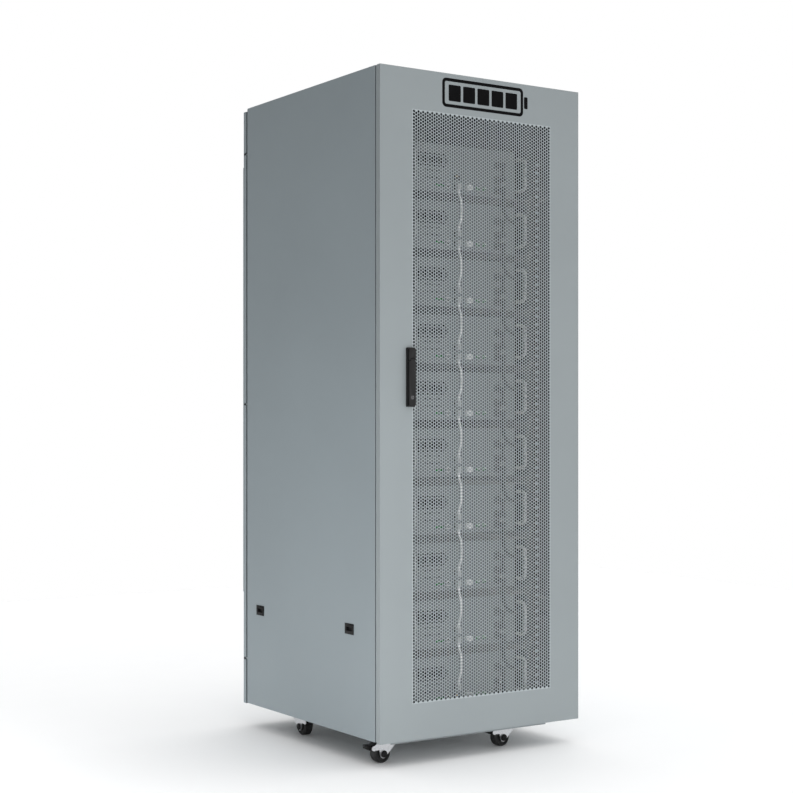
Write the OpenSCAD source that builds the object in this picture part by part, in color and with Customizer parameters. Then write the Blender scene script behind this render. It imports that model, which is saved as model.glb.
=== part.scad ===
// Floor-standing rack cabinet that holds ten battery modules behind a perforated door.
// +X is to the right seen from the front, -Y is the front, +Z is up.
// The origin is on the floor, at the middle of the cabinet's outline.

/* [Cabinet] */
// Width over the side panels
cab_w = 600; // [600:10:700]
// Depth from the front door's face to the rear door's back
cab_d = 673; // [673:1:760]
// Height of the roof above the floor
cab_top = 1650; // [1650:10:1800]
// Height of the cabinet's underside above the floor
under_z = 60; // [60:1:64]

/* [Doors] */
// Depth of each door's folded pan
door_t = 14; // [14:0.5:14.5]
// Sheet thickness of the doors
sheet_t = 1.5; // [1:0.1:1.5]
// Width of the perforated field in the front door
mesh_w = 418; // [300:1:418]
// Gap between the perforated field and the door's lower edge
mesh_low = 86; // [80:1:200]
// Gap between the perforated field and the door's upper edge
mesh_high = 96; // [80:1:200]
// How much lower the rear door is than the roof
rear_drop = 7; // [0:1:20]
// Distance of the handle's centre from the door's free edge
handle_in = 84.5; // [80:0.5:84.5]
// Height of the handle's middle above the floor
handle_z = 919; // [700:1:1200]

/* [Battery modules] */
// Width of a module's case
module_w = 442; // [420:1:442]
// Height of a module's case
module_h = 118; // [110:1:120]
// Depth of a module's case
module_d = 480; // [400:1:490]
// Height of the lowest module's underside above the floor
stack_z = 118; // [110:1:130]
// Step from one module to the next
module_step = 140; // [138:1:142]
// Distance of the module fronts behind the front door's face
face_in = 85; // [85:1:95]

/* [Casters] */
// Radius of a caster's wheel
wheel_r = 22.5; // [20:0.5:22.5]
// Width of a caster's wheel
wheel_w = 24; // [18:1:24]
// Distance of the wheel's axle behind the swivel axis
trail = 20; // [15:1:20]
// Left and right swivel axes, from the cabinet's middle
caster_x = [-230, 128];
// Front and rear swivel axes, from the front door's face
caster_in = [77, 488];

/* [Hidden] */
$fn = 48;

// Colours
shell_grey = [0.63, 0.66, 0.67];
frame_grey = [0.55, 0.58, 0.60];
module_grey = [0.74, 0.77, 0.78];
zinc = [0.80, 0.81, 0.82];
soft_black = [0.08, 0.08, 0.09];
cable_white = [0.92, 0.93, 0.93];

// Outline
handle_out = 11;
lock_out = 6;
front_y = -cab_d / 2 + (handle_out - lock_out) / 2;
mid_y = front_y + cab_d / 2;
half_w = cab_w / 2;
weld_gap = 0.1;

// Frame: a ring at each end, posts, beams and rails between them
ring_in = [16.5, 20.5];
ring_edge = 2;
ring_bar = 46;
post_x = [12, 36];
post_in = [ring_in[1] + weld_gap, ring_in[1] + 24.5];
pan_t = 3;
beam_h = 30;
tube_wall = 2;
roof_t = 2;
floor_z = under_z + pan_t;
frame_top = cab_top - roof_t;
beam_low = [floor_z + weld_gap, floor_z + beam_h];
beam_high = [frame_top - beam_h, frame_top - weld_gap];
cross_z = [345, 850, 1400];
cross_x = [13, 49.9];

// Front lip of the base
lip_x = [-250, 216];
lip_in = [28, 31];
lip_low = under_z - 10;

// Cable entry in the base and slots in the roof
entry = [220, 90];
entry_in = 580;
vent_slot = [110, 5];
vent_step = [150, 14];
vent_rows = 22;
vent_in = 190;
eye_r = 5.1;
eye_x = half_w - 24;
eye_in = [60, cab_d - 60];

// Rack rails to the 19 inch pattern: 44.45 per unit, holes 465.1 apart
rail_x = [225, 250];
rail_t = 2;
rail_leg = 32;
unit_h = 44.45;
unit_n = 33;
rail_hole = 9.5;
rail_hole_x = 465.1 / 2;
rail_in = face_in + 15;

// Doors
back_lip = 12;
hinge_x = half_w - 6;
hinge_in = 6;
hinge_zs = [180, 860, 1530];
hinge_pin_r = 2;
hinge_pin_h = 13;
hinge_arm = [3, 4];
hinge_fit = 0.06;
handle_x = -half_w + handle_in;
handle_w = 23;
handle_h = 140;
hub_z = handle_z + handle_h / 2 - 15;
base_out = 5;
skin_gap = 0.3;
lever_out = base_out + skin_gap;
lever_t = handle_out - lever_out;
lever_pin_z = hub_z - 13;
lever_w = 19;
ear_w = 4;
lever_pin_r = 1.4;
lever_pin_in = -lever_out - lever_t / 2;
knuckle_r = lever_t / 2 - 0.25;
spindle_r = 4;
cam_in = [21.5, 24.5];
cam_reach = 36.5;
key_z = handle_z - handle_h / 2 + 22;
key_r = 4.5;
field_out = 3;
field_z = [358, 1495];

// Side panels and their latches
panel_t = 1.2;
panel_lip = 11.2;
panel_in = [21, cab_d - 21];
panel_z = [under_z + 2, cab_top];
latch_in = [135, 580];
latch_z = 316;
latch_plate = [40, 26];
latch_cup = [28, 12];
latch_travel = 6;
latch_gap = 0.3;
latch_t = 1;
striker_x = [3.8, 5.2];
striker_w = 24;

// Modules, counted from the top
module_n = 10;
wall_t = 1.2;
plate_t = 3;
handle_bar_x = 168;
bar_r = 4;
bar_out = 35;
bar_bend = 12;
bar_z = [19, 99];
button_x = -44;
button_r = 3.6;
button_hole_r = 4;
low_z = 17;
port_x = -19;
port_z = [low_z, 40];
port_out = 2;
terminal_x = 107;
terminal_z = [18, 42, 78];
flange = [9.4, 3];
barrel_r = 7.5;
cell = [160, 48, 105];
cell_rows = 8;

// Leads on the module fronts
patch_r = 2.75;
patch_out = 7;
patch_bow = 9;
plug = [11, 11, 14];
nose_h = 9;
lead_r = 5;
lead_in = face_in - 23;
lead_x = terminal_x + 2;
loop_r = 38;
lead_rise = 20;
lead_turn = 12;
sleeve = [16, 12];
trunk = [14, 20];
trunk_x = lead_x + 2 * loop_r + lead_turn;
trunk_z = [100, 1486];
trunk_wall = 1.5;
clip_zs = [185, 605, 1025, 1445];
clip_h = 12;

// Casters, in a frame with the swivel axis at x = y = 0 and the wheel towards -X
plate_z = under_z - 3;
race_z = plate_z - 2.7;
crown_z = [49.5, 52];
leg_y = [14.2, 16.4];
axle_r = 4;
axle_fit = 0.08;
pivot = [-trail - 27, 38];
pivot_r = 2.5;
pedal_tip = -63;
pedal_w = 18;

function module_z(i) = stack_z + (module_n - 1 - i) * module_step;

// A block from its lowest to its highest corner, with y counted back from the front door's face
module block(lo, hi) {
    translate([lo[0], front_y + lo[1], lo[2]]) cube(hi - lo);
}

// A square tube along Y or along X, open at its ends
module tube_y(lo, hi) {
    wall = [tube_wall, 0, tube_wall];
    difference() {
        block(lo, hi);
        block(lo + wall - [0, 1, 0], hi - wall + [0, 1, 0]);
    }
}

module tube_x(lo, hi) {
    wall = [0, tube_wall, tube_wall];
    difference() {
        block(lo, hi);
        block(lo + wall - [1, 0, 0], hi - wall + [1, 0, 0]);
    }
}

module tube_z(lo, hi) {
    wall = [tube_wall, tube_wall, 0];
    difference() {
        block(lo, hi);
        block(lo + wall - [0, 0, 1], hi - wall + [0, 0, 1]);
    }
}

// The same thing on the other side, and the same thing turned round to the back
module both_sides() {
    children();
    mirror([1, 0, 0]) children();
}

module turned() {
    translate([0, mid_y, 0]) rotate([0, 0, 180]) translate([0, -mid_y, 0]) children();
}

module both_ends() {
    children();
    turned() children();
}

// A cylinder along +X, starting at x, at a depth behind the front door's face
module rod_x(x, depth, z, r, len) {
    translate([x, front_y + depth, z]) rotate([0, 90, 0]) cylinder(r = r, h = len);
}

// A cylinder along +Y, starting at a depth behind the front door's face
module rod_y(x, depth, z, r, len) {
    translate([x, front_y + depth, z]) rotate([-90, 0, 0]) cylinder(r = r, h = len);
}

// ---------- cabinet ----------

module base_pan() {
    color(frame_grey) {
        difference() {
            block([-half_w + post_x[0], ring_in[0], under_z],
                  [half_w - post_x[0], cab_d - ring_in[0], floor_z]);
            block([-entry[0] / 2, entry_in - entry[1] / 2, under_z - 1],
                  [entry[0] / 2, entry_in + entry[1] / 2, floor_z + 1]);
        }
        block([lip_x[0], lip_in[0], lip_low], [lip_x[1], lip_in[1], under_z]);
    }
}

module ring() {
    z = [floor_z + weld_gap, frame_top - weld_gap];
    edge = half_w - ring_edge;
    inner = half_w - ring_bar;
    both_sides() block([inner + weld_gap, ring_in[0], z[0]], [edge, ring_in[1], z[1]]);
    block([-inner, ring_in[0], z[0]], [inner, ring_in[1], z[0] + beam_h]);
    block([-inner, ring_in[0], z[1] - beam_h], [inner, ring_in[1], z[1]]);
}

module hinge_arms() {
    for (z = hinge_zs) translate([hinge_x, front_y + hinge_in, z]) {
        translate([-hinge_arm[0] / 2, 0, -hinge_arm[1] / 2])
            cube([hinge_arm[0], ring_in[0] - hinge_in, hinge_arm[1]]);
        translate([0, 0, -hinge_arm[1] / 2]) cylinder(r = hinge_arm[0], h = hinge_arm[1]);
        cylinder(r = hinge_pin_r, h = hinge_pin_h);
    }
}

// Catch plates for the latch tongues, each on a short web from the lowest cross beam
module latch_strikers() {
    x = [-half_w + striker_x[0], -half_w + striker_x[1]];
    z = latch_z + latch_cup[1] / 2 + latch_travel;
    for (y = latch_in) {
        block([x[0], y - striker_w / 2, z + 2], [x[1], y + striker_w / 2, z + 17]);
        block([x[1] + weld_gap, y - striker_w / 2, z + 14],
              [-half_w + cross_x[0] - weld_gap, y + striker_w / 2, z + 17]);
    }
}

// Holes for the eye bolts, through the roof sheet and the upper wall of the side beams
module eye_bores() {
    low = frame_top - tube_wall - 4;
    both_sides() for (y = eye_in)
        translate([eye_x, front_y + y, low]) cylinder(r = eye_r, h = cab_top + 1 - low);
}

module cabinet_frame() {
    beam_y = [post_in[1] + weld_gap, cab_d - post_in[1] - weld_gap];
    beam_x = half_w - post_x[1] - weld_gap;
    color(frame_grey) {
        both_ends() {
            ring();
            hinge_arms();
            both_sides() tube_z([half_w - post_x[1], post_in[0], beam_low[0]],
                                [half_w - post_x[0], post_in[1], beam_high[1]]);
            for (z = [beam_low, beam_high])
                tube_x([-beam_x, post_in[0], z[0]], [beam_x, post_in[1], z[1]]);
        }
        both_sides() tube_y([-half_w + post_x[0], beam_y[0], beam_low[0]],
                            [-half_w + post_x[1], beam_y[1], beam_low[1]]);
        difference() {
            both_sides() tube_y([-half_w + post_x[0], beam_y[0], beam_high[0]],
                                [-half_w + post_x[1], beam_y[1], beam_high[1]]);
            eye_bores();
        }
        both_sides() {
            for (z = cross_z)
                tube_y([-half_w + cross_x[0], beam_y[0], z - beam_h / 2],
                       [-half_w + cross_x[1], beam_y[1], z + beam_h / 2]);
            latch_strikers();
        }
    }
}

module roof_cover() {
    color(shell_grey) difference() {
        block([-half_w + post_x[0], ring_in[0], frame_top],
              [half_w - post_x[0], cab_d - ring_in[0], cab_top]);
        for (x = [-1, 0, 1], row = [0 : vent_rows - 1])
            translate([x * vent_step[0], front_y + vent_in + row * vent_step[1], frame_top - 1])
                linear_extrude(roof_t + 2) slot(vent_slot);
        eye_bores();
    }
}

// A flat slot with round ends, size over all
module slot(size) {
    square([size[0] - size[1], size[1]], center = true);
    for (x = [-1, 1]) translate([x * (size[0] - size[1]) / 2, 0]) circle(d = size[1]);
}

module rack_rail() {
    z = [beam_low[1] + weld_gap, beam_high[0] - weld_gap];
    hole_z = z[0] + 8;
    translate([0, front_y + rail_in + rail_t, 0]) rotate([90, 0, 0]) linear_extrude(rail_t)
        difference() {
            translate([rail_x[0], z[0]]) square([rail_x[1] - rail_x[0], z[1] - z[0]]);
            for (u = [0 : unit_n - 1], h = [6.35, 22.225, 38.1])
                translate([rail_hole_x, hole_z + u * unit_h + h]) square(rail_hole, center = true);
        }
    block([rail_x[1] - rail_t, rail_in + rail_t, z[0]], [rail_x[1], rail_in + rail_leg, z[1]]);
}

module rack_rails() {
    color(zinc) both_ends() both_sides() rack_rail();
}

module shelf_brackets() {
    x = rail_x[1] - rail_t - weld_gap;
    y = [rail_in + rail_t + weld_gap, cab_d - rail_in - rail_t - weld_gap];
    color(zinc) both_sides() for (i = [0 : module_n - 1]) {
        z = module_z(i);
        difference() {
            block([x - 55, y[0], z - 2], [x, y[1], z + 18]);
            block([x - 56, y[0] - 1, z], [x - 2, y[1] + 1, z + 19]);
        }
    }
}

// Upright wiring trunk in front of the right-hand rail, with its clips
module cable_trunk() {
    y = lead_in - 6;
    back = y + trunk[1];
    color(soft_black) {
        difference() {
            block([trunk_x, y, trunk_z[0]], [trunk_x + trunk[0], back, trunk_z[1]]);
            block([trunk_x + trunk_wall, y + trunk_wall, trunk_z[0] - 1],
                  [trunk_x + trunk[0] - trunk_wall, back - trunk_wall, trunk_z[1] - trunk_wall]);
        }
        for (z = clip_zs) {
            block([trunk_x + 2, back, z], [rail_hole_x + 10, back + 6, z + clip_h]);
            block([rail_x[0] + 2, back + 6, z], [rail_hole_x + 10, rail_in, z + clip_h]);
        }
    }
}

// ---------- battery modules ----------

// Case i: an open tray and its lid
module battery_module(i) {
    z = module_z(i);
    y = [face_in + plate_t, face_in + plate_t + module_d];
    x = module_w / 2;
    color(module_grey) {
        difference() {
            block([-x, y[0], z], [x, y[1], z + module_h - wall_t]);
            block([-x + wall_t, y[0] + wall_t, z + wall_t], [x - wall_t, y[1] - wall_t, z + module_h]);
            rod_y(button_x, y[0] - 1, z + low_z, button_hole_r + 0.4, wall_t + 2);
        }
        block([-x, y[0], z + module_h - wall_t], [x, y[1], z + module_h]);
    }
}

module module_faceplates() {
    x = module_w / 2 + 1;
    color(module_grey) for (i = [0 : module_n - 1]) {
        z = module_z(i);
        difference() {
            block([-x, face_in, z], [x, face_in + plate_t, z + module_h]);
            rod_y(button_x, face_in - 1, z + low_z, button_hole_r, plate_t + 2);
        }
    }
}

module module_button(i) {
    z = module_z(i) + low_z;
    color(soft_black) rod_y(button_x, face_in - 2, z, button_r, plate_t + 8);
}

// A grab handle's foot: a stub out of the face that bends towards the bar
module handle_foot() {
    rotate([90, 0, 0]) cylinder(r = bar_r, h = bar_out - bar_bend);
    translate([0, -bar_out + bar_bend, -bar_bend]) rotate([90, 0, -90])
        rotate_extrude(angle = 90) translate([bar_bend, 0]) circle(r = bar_r);
}

module module_handles() {
    mid = (bar_z[0] + bar_z[1]) / 2;
    reach = (bar_z[1] - bar_z[0]) / 2;
    color(module_grey) both_sides() for (i = [0 : module_n - 1])
        translate([handle_bar_x, front_y + face_in, module_z(i) + mid]) {
            for (m = [0, 1]) mirror([0, 0, m]) translate([0, 0, reach]) handle_foot();
            translate([0, -bar_out, -reach + bar_bend + weld_gap])
                cylinder(r = bar_r, h = 2 * (reach - bar_bend - weld_gap));
        }
}

// Two network sockets, a white connector, two green ones and a lens strip on each face
module module_ports() {
    for (i = [0 : module_n - 1]) translate([0, 0, module_z(i)]) {
        color(soft_black) for (z = port_z) difference() {
            block([port_x - 7.5, face_in - port_out, z - 6.5], [port_x + 7.5, face_in, z + 6.5]);
            block([port_x - 5.8, face_in - port_out - 1, z - 4.8], [port_x + 5.8, face_in + 1, z + 4.8]);
        }
        color(cable_white) block([9, face_in - 9, low_z - 6], [23, face_in, low_z + 6]);
        color("seagreen") for (x = [38, 58])
            block([x, face_in - 6, low_z - 4], [x + 10, face_in, low_z + 4]);
        color("limegreen") block([-82, face_in - 0.8, low_z - 2.5], [-60, face_in, low_z + 2.5]);
    }
}

module module_terminals() {
    tip = lead_in + barrel_r - 1.5;
    root = face_in - flange[1];
    color(soft_black) for (i = [0 : module_n - 1], dz = terminal_z) {
        z = module_z(i) + dz;
        rod_y(terminal_x, root, z, flange[0], flange[1]);
        rod_y(terminal_x, tip, z, barrel_r, root - tip);
    }
}

module module_cells() {
    first = face_in + plate_t + module_d - 10 - cell_rows * (cell[1] + 2);
    color("lightsteelblue") both_sides() for (i = [0 : module_n - 1], row = [0 : cell_rows - 1])
        translate([4, front_y + first + row * (cell[1] + 2), module_z(i) + 3]) cube(cell);
}

// ---------- leads ----------

// An angled plug: its body stands along the face, its nose is in the socket
module patch_plug(z) {
    x = [port_x - plug[0] / 2, port_x + plug[0] / 2];
    near = face_in - port_out - skin_gap;
    block([x[0], near - plug[1], z - plug[2] / 2], [x[1], near, z + plug[2] / 2]);
    block([x[0], near - 1, z - nose_h / 2], [x[1], face_in - 1, z + nose_h / 2]);
}

// Leads with angled plugs: each bows out of the face between two modules
module patch_cables() {
    drop = module_step + port_z[0] - port_z[1];
    span = drop - plug[2] + 2;
    bend = (pow(span / 2, 2) + pow(patch_bow, 2)) / (2 * patch_bow);
    half = asin(span / 2 / bend);
    color(cable_white) for (i = [0 : module_n - 2]) {
        z = module_z(i) + port_z[0];
        patch_plug(z);
        patch_plug(z - drop);
        translate([port_x, front_y + face_in - patch_out - patch_bow + bend, z - drop / 2])
            rotate([0, 90, 0]) rotate([0, 0, 270 - half])
                rotate_extrude(angle = 2 * half) translate([bend, 0]) circle(r = patch_r);
    }
}

module power_plug(z) {
    rod_y(terminal_x, lead_in - barrel_r + 1.5, z, barrel_r, 2 * barrel_r - 3);
}

// A short link between the two upper terminals of a module
module power_link(z_lo, z_hi) {
    power_plug(z_lo);
    power_plug(z_hi);
    translate([terminal_x, front_y + lead_in, z_lo]) cylinder(r = lead_r, h = z_hi - z_lo);
}

// A power lead: an angled plug on a terminal, a hanging loop, and a turn into the trunk
module power_lead(z_plug, z_loop) {
    y = front_y + lead_in;
    power_plug(z_plug);
    translate([lead_x, y, z_plug - sleeve[0]]) cylinder(r = lead_r + 1.2, h = sleeve[1]);
    translate([lead_x, y, z_loop]) cylinder(r = lead_r, h = z_plug - sleeve[0] - z_loop);
    translate([lead_x + loop_r, y, z_loop]) rotate([90, 180, 0])
        rotate_extrude(angle = 180) translate([loop_r, 0]) circle(r = lead_r);
    translate([lead_x + 2 * loop_r, y, z_loop]) {
        cylinder(r = lead_r, h = lead_rise);
        translate([lead_turn, 0, lead_rise]) mirror([1, 0, 0]) rotate([90, 0, 0])
            rotate_extrude(angle = 90) translate([lead_turn, 0]) circle(r = lead_r);
    }
}

module power_cables() {
    color(soft_black) for (i = [0 : module_n - 1]) {
        z = module_z(i);
        last = i == module_n - 1;
        power_lead(z + terminal_z[last ? 2 : 0], last ? z + 35 : z - 26);
        if (!last) power_link(z + terminal_z[1], z + terminal_z[2]);
    }
}

// ---------- doors ----------

// A folded door: skin, returns, back lips, hinge bushes and the slots that the hinge arms swing in
module door_pan(z_lo, z_hi) {
    difference() {
        block([-half_w, 0, z_lo], [half_w, door_t, z_hi]);
        block([-half_w + sheet_t, sheet_t, z_lo + sheet_t],
              [half_w - sheet_t, door_t - sheet_t, z_hi - sheet_t]);
        block([-half_w + back_lip, door_t - sheet_t - 1, z_lo + back_lip],
              [half_w - back_lip, door_t + 1, z_hi - back_lip]);
        for (z = hinge_zs)
            block([hinge_x - 4, sheet_t, z - 3], [half_w + 1, door_t + 1, z + 3]);
        rod_y(handle_x, -1, hub_z, spindle_r + 0.5, sheet_t + 2);
    }
    for (z = hinge_zs) difference() {
        block([hinge_x - 4, sheet_t, z + 2.3], [half_w - sheet_t, hinge_in + 4, z + 14]);
        translate([hinge_x, front_y + hinge_in, z])
            cylinder(r = hinge_pin_r + hinge_fit, h = hinge_pin_h + 0.4);
    }
}

module front_door() {
    color(shell_grey) difference() {
        door_pan(under_z, cab_top);
        block([-mesh_w / 2, -1, under_z + mesh_low], [mesh_w / 2, sheet_t + 1, cab_top - mesh_high]);
    }
}

module front_door_mesh() {
    color([0.72, 0.75, 0.76])
        block([-mesh_w / 2, 0, under_z + mesh_low], [mesh_w / 2, sheet_t, cab_top - mesh_high]);
}

module rounded_plate(w, h, r) {
    square([w, h - 2 * r], center = true);
    square([w - 2 * r, h], center = true);
    for (x = [-1, 1], z = [-1, 1]) translate([x * (w / 2 - r), z * (h / 2 - r)]) circle(r = r);
}

// An upright plate that stands out from the front door between two distances
module out_plate(x, z, w, h, r, near, far) {
    translate([x, front_y - near, z]) rotate([90, 0, 0]) linear_extrude(far - near) rounded_plate(w, h, r);
}

module handle_base() {
    color(soft_black) difference() {
        out_plate(handle_x, handle_z, handle_w, handle_h, 2, 0, base_out);
        rod_y(handle_x, -base_out - 1, hub_z, spindle_r + 0.1, base_out + 2);
    }
}

// Hub of the swing handle: plate, two ears with the lever's pin, spindle and latch cam
module handle_hub() {
    color(soft_black) {
        out_plate(handle_x, hub_z + 1.5, lever_w, 22, 2, lever_out, handle_out);
        for (x = [handle_x - lever_w / 2, handle_x + lever_w / 2 - ear_w]) {
            block([x, -handle_out, lever_pin_z], [x + ear_w, -lever_out, hub_z]);
            rod_x(x, lever_pin_in, lever_pin_z, knuckle_r, ear_w);
        }
        rod_x(handle_x - lever_w / 2 + 1, lever_pin_in, lever_pin_z, lever_pin_r, lever_w - 2);
        rod_y(handle_x, -lever_out, hub_z, spindle_r, lever_out + cam_in[1]);
        cam();
    }
}

// Latch cam behind the door: its tip points at the frame's ring
module cam() {
    rod_y(handle_x, cam_in[0], hub_z, 8, cam_in[1] - cam_in[0]);
    block([handle_x - cam_reach, cam_in[0], hub_z - 8], [handle_x, cam_in[1], hub_z + 8]);
}

// Lever: a grip, and a narrow neck that ends in a knuckle round the hub's pin
module handle_lever() {
    grip_z = [handle_z - handle_h / 2 + 3, lever_pin_z - lever_t / 2 - 0.8];
    neck_x = lever_w / 2 - ear_w - 0.5;
    color(soft_black) difference() {
        union() {
            out_plate(handle_x, (grip_z[0] + grip_z[1]) / 2, lever_w, grip_z[1] - grip_z[0], 2,
                      lever_out, handle_out);
            block([handle_x - neck_x, -handle_out, lever_pin_z - 8],
                  [handle_x + neck_x, -lever_out, lever_pin_z]);
            rod_x(handle_x - neck_x, lever_pin_in, lever_pin_z, knuckle_r, 2 * neck_x);
        }
        rod_x(handle_x - lever_w, lever_pin_in, lever_pin_z, lever_pin_r + hinge_fit, 2 * lever_w);
        rod_y(handle_x, -handle_out - 1, key_z, key_r + hinge_fit, handle_out);
    }
}

module key_plug() {
    color(zinc) difference() {
        rod_y(handle_x, -handle_out, key_z, key_r, lever_t);
        block([handle_x - 0.6, -handle_out - 1, key_z - 2.6], [handle_x + 0.6, -handle_out + 2, key_z + 2.6]);
    }
}

module rear_door() {
    color(shell_grey) turned() {
        door_pan(under_z, cab_top - rear_drop);
        difference() {
            block([-half_w, -field_out, field_z[0]], [half_w, 0, field_z[1]]);
            rod_y(handle_x, -field_out - 1, hub_z, spindle_r + 0.5, field_out + 2);
        }
    }
}

module rear_lock() {
    color(zinc) turned() {
        difference() {
            rod_y(handle_x, -lock_out, hub_z, 11, lock_out - field_out - skin_gap);
            block([handle_x - 1, -lock_out - 1, hub_z - 7], [handle_x + 1, -lock_out + 1.5, hub_z + 7]);
        }
        rod_y(handle_x, -field_out - skin_gap, hub_z, spindle_r, field_out + skin_gap + cam_in[1]);
        cam();
    }
}

// ---------- side panels ----------

module side_panel() {
    x = -half_w;
    slot_z = [latch_z - latch_cup[1] / 2 - latch_gap, latch_z + latch_cup[1] / 2 + latch_travel + latch_gap];
    color(shell_grey) difference() {
        block([x, panel_in[0], panel_z[0]], [x + panel_lip, panel_in[1], panel_z[1]]);
        block([x + panel_t, panel_in[0] + panel_t, panel_z[0] + panel_t],
              [x + panel_lip + 1, panel_in[1] - panel_t, panel_z[1] - panel_t]);
        for (y = latch_in)
            block([x - 1, y - latch_cup[0] / 2 - latch_gap, slot_z[0]],
                  [x + panel_t + 1, y + latch_cup[0] / 2 + latch_gap, slot_z[1]]);
    }
}

// A sliding latch: cover plate, finger cup through the panel, and the tongue behind it
module side_latch(y) {
    x = -half_w - latch_gap;
    cup = latch_cup / 2;
    plate = latch_plate / 2;
    color(soft_black) {
        difference() {
            union() {
                block([x - latch_t, y - plate[0], latch_z - plate[1]], [x, y + plate[0], latch_z + plate[1]]);
                block([x - latch_t, y - cup[0], latch_z - cup[1]], [x + 6, y + cup[0], latch_z + cup[1]]);
            }
            block([x - latch_t - 1, y - cup[0] + 1.2, latch_z - cup[1] + 1.2],
                  [x + 4.8, y + cup[0] - 1.2, latch_z + cup[1] - 1.2]);
        }
        block([x + 6 + weld_gap, y - 10, latch_z - cup[1]], [x + 8, y + 10, latch_z + cup[1] + latch_travel]);
    }
}

// ---------- casters ----------

module caster_at(k) {
    rear = k >= 2;
    turn = rear ? 90 : 0;
    translate([caster_x[k % 2], front_y + caster_in[rear ? 1 : 0], 0]) rotate([0, 0, turn]) children();
}

module axle_rod(x, z, r, len) {
    translate([x, len / 2, z]) rotate([90, 0, 0]) cylinder(r = r, h = len);
}

// Mounting plate, bearing race, kingpin and bolts, all fixed to the base
module caster_plates() {
    color(zinc) for (k = [0 : 3]) caster_at(k) {
        translate([0, 0, plate_z]) linear_extrude(under_z - plate_z) rounded_plate(60, 60, 4);
        translate([0, 0, race_z]) cylinder(r = 15, h = plate_z - race_z);
        translate([0, 0, crown_z[0] - 2.6]) cylinder(r = axle_r, h = plate_z - crown_z[0] + 2.6);
        translate([0, 0, crown_z[0] - 2.6]) cylinder(r = 7, h = 2.4);
        for (x = [-1, 1], y = [-1, 1])
            translate([x * 23, y * 23, plate_z - 2.4]) cylinder(r = 4.2, h = 2.4, $fn = 6);
    }
}

// Swivelling fork with its axle bolt and the pedal's pivot pin
module caster_fork() {
    leg = [[17, 52], [-33, 52], [-49, 42], [-50, 33], [-32, 33], [-29, 20], [-12, 18], [14, 44]];
    color(zinc) {
        difference() {
            union() {
                translate([-33, -leg_y[1], crown_z[0]]) cube([50, 2 * leg_y[1], crown_z[1] - crown_z[0]]);
                translate([0, 0, crown_z[1]]) cylinder(r = 16, h = race_z - crown_z[1] - 0.3);
            }
            translate([0, 0, crown_z[0] - 1]) cylinder(r = axle_r + axle_fit, h = 10);
        }
        for (s = [-1, 1]) {
            translate([0, s > 0 ? leg_y[1] : -leg_y[0], 0]) rotate([90, 0, 0])
                linear_extrude(leg_y[1] - leg_y[0]) {
                    polygon(leg);
                    translate([-trail, wheel_r]) circle(r = 10);
                    translate(pivot) circle(r = 6);
                }
            translate([-trail, s * (leg_y[1] + 1.5), wheel_r]) rotate([90, 0, 0])
                cylinder(r = 6, h = 3, center = true, $fn = 6);
        }
        axle_rod(-trail, wheel_r, axle_r, 2 * leg_y[1]);
        axle_rod(pivot[0], pivot[1], pivot_r, 2 * leg_y[1]);
    }
}

// Wheel with a rounded tread, a recessed web and a hub
module caster_wheel() {
    w = wheel_w / 2;
    profile = [
        [axle_r + axle_fit, -w - 0.8], [9, -w - 0.8], [10, -w + 3], [16, -w + 3], [17.5, -w],
        [wheel_r - 3, -w], [wheel_r, -w + 3], [wheel_r, w - 3], [wheel_r - 3, w],
        [17.5, w], [16, w - 3], [10, w - 3], [9, w + 0.8], [axle_r + axle_fit, w + 0.8]
    ];
    color(soft_black) translate([-trail, 0, wheel_r]) rotate([90, 0, 0])
        rotate_extrude() polygon(profile);
}

module brake_pedal() {
    side = [[-44, 43], [-44, 35], [-52, 32], [pedal_tip, 37], [pedal_tip, 45.5], [-50, 44.5]];
    color(soft_black) difference() {
        union() {
            translate([0, pedal_w / 2, 0]) rotate([90, 0, 0]) linear_extrude(pedal_w) polygon(side);
            axle_rod(pivot[0], pivot[1], 5.2, pedal_w + 8);
        }
        axle_rod(pivot[0], pivot[1], pivot_r + axle_fit, 2 * leg_y[1]);
    }
}

// ---------- nodes ----------

base_pan();
cabinet_frame();
roof_cover();
rack_rails();
shelf_brackets();
cable_trunk();
module_faceplates();
module_handles();
module_ports();
module_terminals();
module_cells();
patch_cables();
power_cables();
caster_plates();
front_door();
front_door_mesh();
handle_base();
handle_hub();
handle_lever();
key_plug();
rear_door();
rear_lock();
side_panel();  // side_panel_left
mirror([1, 0, 0]) side_panel();  // side_panel_right
side_latch(latch_in[0]);  // side_latch_left_front
side_latch(latch_in[1]);  // side_latch_left_rear
mirror([1, 0, 0]) side_latch(latch_in[0]);  // side_latch_right_front
mirror([1, 0, 0]) side_latch(latch_in[1]);  // side_latch_right_rear
caster_at(0) caster_fork();  // caster_fork_fl
caster_at(1) caster_fork();  // caster_fork_fr
caster_at(2) caster_fork();  // caster_fork_rl
caster_at(3) caster_fork();  // caster_fork_rr
caster_at(0) caster_wheel();  // caster_wheel_fl
caster_at(1) caster_wheel();  // caster_wheel_fr
caster_at(2) caster_wheel();  // caster_wheel_rl
caster_at(3) caster_wheel();  // caster_wheel_rr
caster_at(0) brake_pedal();  // brake_pedal_fl
caster_at(1) brake_pedal();  // brake_pedal_fr
caster_at(2) brake_pedal();  // brake_pedal_rl
caster_at(3) brake_pedal();  // brake_pedal_rr
battery_module(0);  // battery_module_01
battery_module(1);  // battery_module_02
battery_module(2);  // battery_module_03
battery_module(3);  // battery_module_04
battery_module(4);  // battery_module_05
battery_module(5);  // battery_module_06
battery_module(6);  // battery_module_07
battery_module(7);  // battery_module_08
battery_module(8);  // battery_module_09
battery_module(9);  // battery_module_10
module_button(0);  // module_button_01
module_button(1);  // module_button_02
module_button(2);  // module_button_03
module_button(3);  // module_button_04
module_button(4);  // module_button_05
module_button(5);  // module_button_06
module_button(6);  // module_button_07
module_button(7);  // module_button_08
module_button(8);  // module_button_09
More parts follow.
